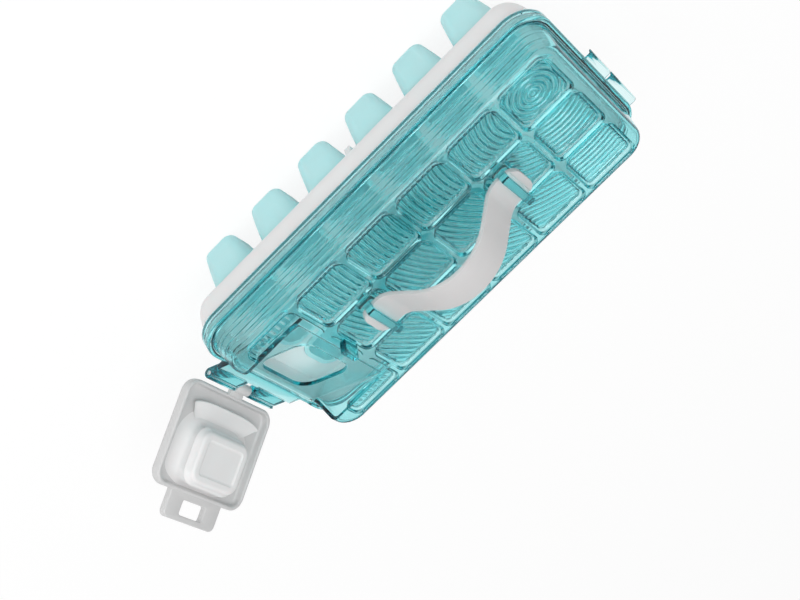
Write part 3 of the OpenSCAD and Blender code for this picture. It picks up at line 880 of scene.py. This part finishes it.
def cup_mesh():
    """One push-out cup about its own middle, foot at height 0."""
    foot, top, neck = CUP_FOOT - CUP_FLAT, CUP_TOP - CUP_FLAT, CUP_NECK - CUP_FLAT
    side = arc((foot - CUP_FOOT_R + CUP_SPREAD, CUP_FOOT_R), CUP_FOOT_R, -90, -CUP_DRAFT, steps=10)
    low_rho, low_z = side[-1]
    shoulder_in, shoulder_h = CUP_SHOULDER
    high_z = DECK_LOW - shoulder_h
    for t in np.linspace(0, 1, CUP_STEPS + 1)[1:]:
        bulge = CUP_BULGE * math.sin(math.pi * t)
        side.append((low_rho + t * (top - low_rho) + bulge, low_z + t * (high_z - low_z)))
    side += [(top - shoulder_in, DECK_LOW), (neck, DECK_LOW), (neck, DECK_TOP), (top + COLLAR_CUT, DECK_TOP)]
    side += arc((top - COLLAR_IN, COLLAR_TOP - COLLAR_ROUND), COLLAR_ROUND, 0, 90, steps=5)
    inner = [(neck - CUP_WALL, COLLAR_TOP), (neck - CUP_WALL, DECK_LOW)]
    inner_foot = (foot - CUP_WALL - CUP_INNER_R + CUP_SPREAD, CUP_WALL + CUP_INNER_R)
    inner += arc(inner_foot, CUP_INNER_R, -CUP_DRAFT, -90)
    return smooth(swept_solid("cup", rounded_stations(CUP_FLAT, CUP_FLAT, steps=14), side + inner), angle=45)


# Strap


def strap_line():
    """Middle line of the arch from its top to its foot: along, up and slope."""
    total = ARCH_TOP_R + ARCH_FOOT_R
    drop = total - ARCH_RISE
    lean = math.asin(total / math.hypot(ARCH_HALF, drop)) - math.atan2(drop, ARCH_HALF)
    line = []
    for a in np.linspace(0, lean, ARCH_TOP_POINTS):
        line.append((ARCH_TOP_R * math.sin(a), ARCH_RISE - ARCH_TOP_R * (1 - math.cos(a)), a))
    for a in np.linspace(lean, 0, ARCH_FOOT_POINTS):
        line.append((ARCH_HALF - ARCH_FOOT_R * math.sin(a), ARCH_FOOT_R * (1 - math.cos(a)), a))
    return line


def carry_strap():
    """Arched strap with a stop on top of each rounded end."""
    half = STRAP_T / 2
    end = (STRAP_HIGH[0] - STRAP_LOW[0]) / 2
    width = STRAP_HIGH[1] - STRAP_LOW[1]
    stop_z = half + STOP_H
    line = strap_line()
    top = [(x + half * math.sin(a), z + half * math.cos(a)) for x, z, a in line]
    under = [(x - half * math.sin(a), z - half * math.cos(a)) for x, z, a in line]
    right_top = top + [(end - STOP_L, half), (end - STOP_L + STOP_SLANT, stop_z), (end, stop_z)]
    right_under = under + [(end, -half)]
    outline = [(-x, z) for x, z in reversed(right_top[1:])] + right_top
    outline += list(reversed(right_under)) + [(-x, z) for x, z in right_under[1:]]
    strap = prism("strap", outline, width, lambda u, v, w: (GRID_X + u, w, FACE_Z + half + v))
    ends = rounded_outline(2 * end, width, STRAP_END_R, steps=12)
    plan = prism("plan", ends, PLAN_DEPTH, lambda u, v, w: (GRID_X + u, v, FACE_Z + w))
    combined(strap, plan, "INTERSECT")
    return smooth(bevelled(strap, width=0.7, segments=4, angle=50), angle=30)


# Hatch


def slope_stations(start, length, width, r):
    """Stations around a rounded rectangle on the hatch, from its edge nearest the hinge."""
    middle = start + length / 2
    stations = rounded_stations(length / 2 - r, width / 2 - r, steps=14)
    return [(middle + cx, cy, dx, dy) for cx, cy, dx, dy in stations]


def hatch_barrel():
    """Barrel on the hinge, with the arm that carries the hatch."""
    arm_low, arm_high = KNUCKLE_R / 2, KNUCKLE_R / 2 + HATCH_LOW
    reach = HATCH_START + LIP_W / 2
    outline = arc((0, 0), KNUCKLE_R, 90, 360, steps=24)[:-1]
    outline += [(KNUCKLE_R * math.cos(ARM_ANGLE), arm_low), (reach, arm_low)]
    outline += [(reach, arm_high), (0, arm_high)]
    barrel = prism("barrel", outline, BARREL_W, lambda u, v, w: (u, w, v))
    return bevelled(barrel, width=0.4, segments=2)


def pull_loop():
    """Soft-edged loop with a slot, past the hatch's free end."""
    root, tip, side = HATCH_END - LIP_W / 2, HATCH_END + LOOP_L - LOOP_R, LOOP_W / 2 - LOOP_R
    outline = [(root, -LOOP_W / 2)] + arc((tip, -side), LOOP_R, -90, 0) + arc((tip, side), LOOP_R, 0, 90)
    outline += [(root, LOOP_W / 2)]
    middle = LOOP_LOW + LOOP_T / 2
    loop = prism("loop", outline, LOOP_T, lambda u, v, w: (u, v, middle + w))
    hole = rounded_outline(SLOT_L, SLOT_W, SLOT_R)
    slot = prism("slot", hole, 3 * LOOP_T, lambda u, v, w: (CATCH_S + u, v, middle + w))
    combined(loop, slot, "DIFFERENCE")
    return bevelled(loop, width=1.6, angle=50)


def hatch_shell():
    """Panel with a deep rounded lip, the pull loop at its free end and the barrel on the hinge."""
    edge = LIP_W / 2
    inner = HATCH_R - LIP_W
    profile = arc((inner - HATCH_FILLET, PANEL_N - HATCH_FILLET), HATCH_FILLET, 90, 0, steps=6)
    profile += arc((HATCH_R - edge, HATCH_LOW + edge), edge, 180, 360, steps=10)
    profile += arc((HATCH_R - BACK_ROUND, HATCH_BACK - BACK_ROUND), BACK_ROUND, 0, 90)
    stations = slope_stations(HATCH_START, HATCH_END - HATCH_START, HATCH_W, HATCH_R)
    shell = swept_solid("hatch_shell", stations, profile)
    combined(shell, pull_loop(), "UNION")
    combined(shell, hatch_barrel(), "UNION")
    combined(shell, hinge_bore(BARREL_BORE_R, 2 * BARREL_W), "DIFFERENCE")
    return moved(smooth(shell), OPENED)


def plug_profile():
    """Section of the plug from the dish in its end up to its flare."""
    edge = PLUG_ROOT - PLUG_DRAFT
    profile = [(edge - inward, PLUG_END + up) for inward, up in PLUG_DISH]
    profile += arc((edge - PLUG_END_R, PLUG_END + PLUG_END_R), PLUG_END_R, -90, 0)
    profile += [(PLUG_ROOT - BEAD, BEAD_N - 2 * BEAD), (PLUG_ROOT - BEAD_CUT, BEAD_N - BEAD)]
    profile += [(PLUG_ROOT, BEAD_N - BEAD / 2), (PLUG_ROOT - BEAD_CUT, BEAD_N)]
    return profile + [(PLUG_ROOT - BEAD, BEAD_N + BEAD)]


def mouth_plug():
    """Plug with a dished end, a drafted side, a sealing bead, a flared root, and the flap by the hinge."""
    stations = slope_stations(MOUTH_S, MOUTH_L, MOUTH_W, MOUTH_R)
    profile = plug_profile()
    verts = [point for rho, n in profile for point in ring(stations, rho, n)]
    for a in np.linspace(0, math.pi / 2, FLARE_STEPS + 1):
        n = PANEL_N - FLARE_H * (1 - math.sin(a))
        for cx, cy, dx, dy in stations:
            flare = FLARE_W + (FLARE_FREE - FLARE_W) * smoothstep(0, 1, dx)
            rho = PLUG_ROOT - BEAD + flare * (1 - math.cos(a))
            verts.append((cx + rho * dx, cy + rho * dy, n))
    faces = stacked_faces(len(profile) + FLARE_STEPS + 1, len(stations))
    plug = mesh_object("mouth_plug", verts, faces)
    return moved(smooth(joined([plug, plug_flap()], "mouth_plug")), OPENED)


def flap_section(share):
    """Section of the flap that far to the side: a thin edge and a hollow slope down to the root."""
    taper = 1 - abs(share) ** FLAP_TAPER_POWER
    front = FLAP_START + FLAP_SWEEP * share ** FLAP_SWEEP_POWER
    length = max((FLAP_ROOT - front) * taper, FLAP_T + FLAP_CUT)
    drop = (PANEL_N - FLAP_TOP) * max(taper, FLAP_LEAST)
    section = [(front, FLAP_TOP + drop), (front, FLAP_TOP + FLAP_CUT), (front + FLAP_CUT, FLAP_TOP)]
    for t in np.linspace(0, 1, FLAP_STEPS + 1):
        section.append((front + FLAP_T + (length - FLAP_T) * t, FLAP_TOP + drop * math.sin(math.pi / 2 * t)))
    return section


def plug_flap():
    """Scoop on the hinge side of the plug, with pointed ends."""
    shares = np.linspace(-1, 1, FLAP_SECTIONS)
    sections = [flap_section(share) for share in shares]
    verts = [(s, FLAP_HALF * share, n) for share, section in zip(shares, sections) for s, n in section]
    return mesh_object("flap", verts, stacked_faces(FLAP_SECTIONS, len(sections[0])))


# Materials


def material(name):
    made = bpy.data.materials.new(name)
    made.use_nodes = True
    nodes = made.node_tree.nodes
    return made, nodes, made.node_tree.links, nodes["Principled BSDF"]


def noise(nodes, links, scale, detail=3.0):
    """Noise in the object's own coordinates, scale in waves per metre."""
    place = nodes.new("ShaderNodeTexCoord")
    texture = nodes.new("ShaderNodeTexNoise")
    texture.inputs["Scale"].default_value = scale
    texture.inputs["Detail"].default_value = detail
    links.new(place.outputs["Object"], texture.inputs["Vector"])
    return texture.outputs["Fac"]


def ramp(nodes, links, value, low, high, colours):
    """Colour ramp between two values."""
    band = nodes.new("ShaderNodeValToRGB")
    band.color_ramp.elements[0].position = low
    band.color_ramp.elements[1].position = high
    for element, colour in zip(band.color_ramp.elements, colours):
        element.color = (*colour, 1)
    links.new(value, band.inputs["Fac"])
    return band.outputs["Color"]


def ranged(nodes, links, value, low, high):
    """Maps 0 to 1 onto low to high."""
    span = nodes.new("ShaderNodeMapRange")
    span.inputs["To Min"].default_value = low
    span.inputs["To Max"].default_value = high
    links.new(value, span.inputs["Value"])
    return span.outputs["Result"]


def math_node(nodes, links, operation, first, second):
    """An operation on a socket and a second socket or number."""
    node = nodes.new("ShaderNodeMath")
    node.operation = operation
    links.new(first, node.inputs[0])
    if isinstance(second, float):
        node.inputs[1].default_value = second
    else:
        links.new(second, node.inputs[1])
    return node.outputs[0]


def bumped(nodes, links, shader, value, depth):
    """Bump of a depth in millimetres."""
    bump = nodes.new("ShaderNodeBump")
    bump.inputs["Strength"].default_value = 1.0
    bump.inputs["Distance"].default_value = depth * MM
    links.new(value, bump.inputs["Height"])
    links.new(bump.outputs["Normal"], shader.inputs["Normal"])


def moulded(name, light, dark, roughness, grain, depth, subsurface=0.0):
    """Pale moulded plastic or silicone: soft colour drift, uneven sheen and a fine grain."""
    made, nodes, links, shader = material(name)
    drift = noise(nodes, links, scale=28, detail=4)
    colour = ramp(nodes, links, drift, low=0.35, high=0.65, colours=(dark, light))
    links.new(colour, shader.inputs["Base Color"])
    links.new(ranged(nodes, links, noise(nodes, links, scale=90), *roughness), shader.inputs["Roughness"])
    bumped(nodes, links, shader, noise(nodes, links, grain, detail=2), depth)
    if subsurface:
        shader.inputs["Subsurface Weight"].default_value = subsurface
        shader.inputs["Subsurface Radius"].default_value = (0.6, 1.0, 1.0)
        shader.inputs["Subsurface Scale"].default_value = 4.0 * MM
    return made


def clear_teal(name, density):
    """Clear tinted plastic: the tint deepens with the thickness that light passes."""
    made, nodes, links, shader = material(name)
    shader.inputs["Base Color"].default_value = (1.0, 1.0, 1.0, 1)
    shader.inputs["Transmission Weight"].default_value = 1.0
    shader.inputs["IOR"].default_value = 1.49
    haze = noise(nodes, links, scale=60, detail=4)
    links.new(ranged(nodes, links, haze, low=0.0, high=0.05), shader.inputs["Roughness"])
    bumped(nodes, links, shader, noise(nodes, links, scale=120, detail=2), depth=0.03)
    tint = nodes.new("ShaderNodeVolumeAbsorption")
    tint.inputs["Color"].default_value = (0.0, 0.79, 0.82, 1)
    tint.inputs["Density"].default_value = density
    links.new(tint.outputs["Volume"], nodes["Material Output"].inputs["Volume"])
    return made


def steel():
    """Drawn steel of the hinge pin."""
    made, nodes, links, shader = material("pin_steel")
    shader.inputs["Metallic"].default_value = 1.0
    drift = noise(nodes, links, scale=400, detail=4)
    colour = ramp(nodes, links, drift, low=0.3, high=0.7, colours=((0.55, 0.56, 0.57), (0.70, 0.71, 0.72)))
    links.new(colour, shader.inputs["Base Color"])
    links.new(ranged(nodes, links, drift, low=0.2, high=0.4), shader.inputs["Roughness"])
    return made


# Light and dark colour, roughness, waves of grain per metre, their depth in millimetres, subsurface share
MOULDED = {
    "white_plastic": ((0.86, 0.85, 0.85), (0.84, 0.83, 0.83), (0.38, 0.50), 2500, 0.02, 0.3),
    "seal_silicone": ((0.92, 0.92, 0.92), (0.88, 0.88, 0.88), (0.30, 0.45), 1500, 0.02, 0.2),
    "strap_silicone": ((0.72, 0.71, 0.71), (0.69, 0.68, 0.68), (0.45, 0.58), 2200, 0.03, 0.1),
    "hatch_white": ((0.68, 0.68, 0.68), (0.65, 0.65, 0.65), (0.40, 0.52), 2500, 0.02),
    "plug_silicone": ((0.88, 0.88, 0.88), (0.85, 0.85, 0.85), (0.45, 0.58), 2200, 0.03, 0.1),
    "cup_silicone": ((0.56, 0.87, 0.89), (0.53, 0.85, 0.87), (0.42, 0.55), 2200, 0.03, 0.8),
}

# Density of the tint, deeper for the skirt's edges, the line at the wall's foot and the strap bars; the dark
# of the skirt's foot edge and of the line is painted shade
CLEAR = {"clear_teal": 200.0, "teal_painted_shade_edge": 4500.0, "teal_painted_shade_line": 20000.0, "teal_bar": 420.0}

MATERIALS = {name: moulded(name, *finish) for name, finish in MOULDED.items()}
MATERIALS.update({name: clear_teal(name, density) for name, density in CLEAR.items()})
MATERIALS["pin_steel"] = steel()


# Pieces


def finished(obj, body, slot, *nodes, finish=None):
    """Gives a piece its body, finish and the CAD nodes that it stands for."""
    obj.data.materials.clear()
    obj.data.materials.append(MATERIALS[finish or slot])
    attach(obj, body)
    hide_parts(*nodes)
    return obj


finished(clear_cover(), "cover", "clear_teal", "bin_cover")
# Dark ring of dense tint at the skirt's foot: painted shade
finished(painted_shade_skirt_edges(), "cover", "clear_teal", "bin_cover", finish="teal_painted_shade_edge")
# Near-black line in the groove at the wall's foot: painted shade
finished(painted_shade_foot_line(), "cover", "clear_teal", "bin_cover", finish="teal_painted_shade_line")
finished(strap_bars(), "cover", "clear_teal", "bin_cover", finish="teal_bar")
finished(tray_frame(), "tray", "white_plastic", "tray_frame")
finished(rim_gasket(), "tray", "seal_silicone", "rim_seal")
finished(carry_strap(), "cover", "strap_silicone", "carry_strap")
finished(hatch_shell(), "hatch", "hatch_white", "hatch_door")
finished(mouth_plug(), "hatch", "plug_silicone", "hatch_plug")

pattern = cup_mesh()
for node in CUP_NODES:
    cup = bpy.data.objects.new("silicone_" + node, pattern.data)
    bpy.context.scene.collection.objects.link(cup)
    cup.location = (CUP_PLACES[node][0] * MM, CUP_PLACES[node][1] * MM, 0)
    finished(cup, "tray", "cup_silicone", node)
bpy.data.objects.remove(pattern)

pin = frame["nodes"]["hinge_pin"]
pin.data.materials.clear()
pin.data.materials.append(MATERIALS["pin_steel"])

# Studio


def background_rays(nodes, links, share):
    """That share for rays from the camera, in reflections and through clear parts, and 0 for other rays."""
    path = nodes.new("ShaderNodeLightPath").outputs
    seen = math_node(nodes, links, "MAXIMUM", path["Is Camera Ray"], path["Is Glossy Ray"])
    seen = math_node(nodes, links, "MAXIMUM", seen, path["Is Transmission Ray"])
    return math_node(nodes, links, "MULTIPLY", seen, share)


def mix_factor(nodes, links, first, second, output):
    """Mixes two shaders into the output and returns the mix's factor socket."""
    mix = nodes.new("ShaderNodeMixShader")
    links.new(first.outputs[0], mix.inputs[1])
    links.new(second.outputs[0], mix.inputs[2])
    links.new(mix.outputs[0], output.inputs["Surface"])
    return mix.inputs[0]


def studio_floor():
    """White floor with a soft shadow, white to the camera, in reflections and through clear parts."""
    corners = [(sx * FLOOR_HALF, sy * FLOOR_HALF, 0) for sx, sy in ((-1, -1), (1, -1), (1, 1), (-1, 1))]
    floor = mesh_object("floor", corners, [(0, 1, 2, 3)])
    made = bpy.data.materials.new("floor_white")
    made.use_nodes = True
    nodes, links = made.node_tree.nodes, made.node_tree.links
    nodes.clear()
    output = nodes.new("ShaderNodeOutputMaterial")
    matte = nodes.new("ShaderNodeBsdfDiffuse")
    matte.inputs["Color"].default_value = (FLOOR_GREY, FLOOR_GREY, FLOOR_GREY, 1)
    glow = nodes.new("ShaderNodeEmission")
    glow.inputs["Strength"].default_value = FLOOR_GLOW
    links.new(background_rays(nodes, links, FLOOR_SHARE), mix_factor(nodes, links, matte, glow, output))
    floor.data.materials.append(made)


def world_light():
    """Soft sky, lit more from above where it shows in clear parts and lights the inside of the cover."""
    world = bpy.data.worlds.new("studio")
    world.use_nodes = True
    bpy.context.scene.world = world
    nodes, links = world.node_tree.nodes, world.node_tree.links
    nodes.clear()
    output = nodes.new("ShaderNodeOutputWorld")
    sky = nodes.new("ShaderNodeBackground")
    sky.inputs["Color"].default_value = (1, 1, 1, 1)
    path = nodes.new("ShaderNodeLightPath")
    place = nodes.new("ShaderNodeTexCoord")
    direction = nodes.new("ShaderNodeSeparateXYZ")
    links.new(place.outputs["Generated"], direction.inputs["Vector"])
    strength = SKY_DIM
    for ray, (low, high) in SKY_LEVELS.items():
        level = ranged(nodes, links, direction.outputs["Z"], low, high)
        shown = math_node(nodes, links, "MULTIPLY", path.outputs[ray], level)
        strength = math_node(nodes, links, "MAXIMUM", shown, strength)
    links.new(strength, sky.inputs["Strength"])
    links.new(sky.outputs[0], output.inputs["Surface"])


def soft_lamp(name, place, size, power):
    """Round lamp that faces the part."""
    lamp = bpy.data.lights.new(name, "AREA")
    lamp.shape = "DISK"
    lamp.size = size
    lamp.energy = power
    obj = bpy.data.objects.new(name, lamp)
    bpy.context.scene.collection.objects.link(obj)
    obj.location = place
    obj.rotation_euler = (Vector(LAMP_TARGET) - Vector(place)).to_track_quat("-Z", "Y").to_euler()


def photo_camera():
    """Camera at the photograph's angle: place and axes of the view in the frame."""
    forward = VIEW_FORWARD
    right = (VIEW_RIGHT - VIEW_RIGHT.dot(forward) * forward / forward.length_squared).normalized()
    forward = forward.normalized()
    up = right.cross(forward)
    data = bpy.data.cameras.new("photo_camera")
    data.lens = VIEW_LENS
    data.sensor_width = VIEW_SENSOR
    camera = bpy.data.objects.new("photo_camera", data)
    bpy.context.scene.collection.objects.link(camera)
    turn = Matrix((right, up, -forward)).transposed().to_4x4()
    camera.matrix_world = Matrix.Translation(VIEW_PLACE) @ turn
    bpy.context.scene.camera = camera


studio_floor()
world_light()
for lamp_name, (lamp_place, lamp_size, lamp_power) in LAMPS.items():
    soft_lamp(lamp_name, lamp_place, lamp_size, lamp_power)
photo_camera()
bpy.context.scene.view_settings.view_transform = "Standard"
cycles = bpy.context.scene.cycles
cycles.max_bounces = CLEAR_BOUNCES
cycles.diffuse_bounces = DIFFUSE_BOUNCES
cycles.transmission_bounces = CLEAR_BOUNCES
cycles.glossy_bounces = CLEAR_BOUNCES
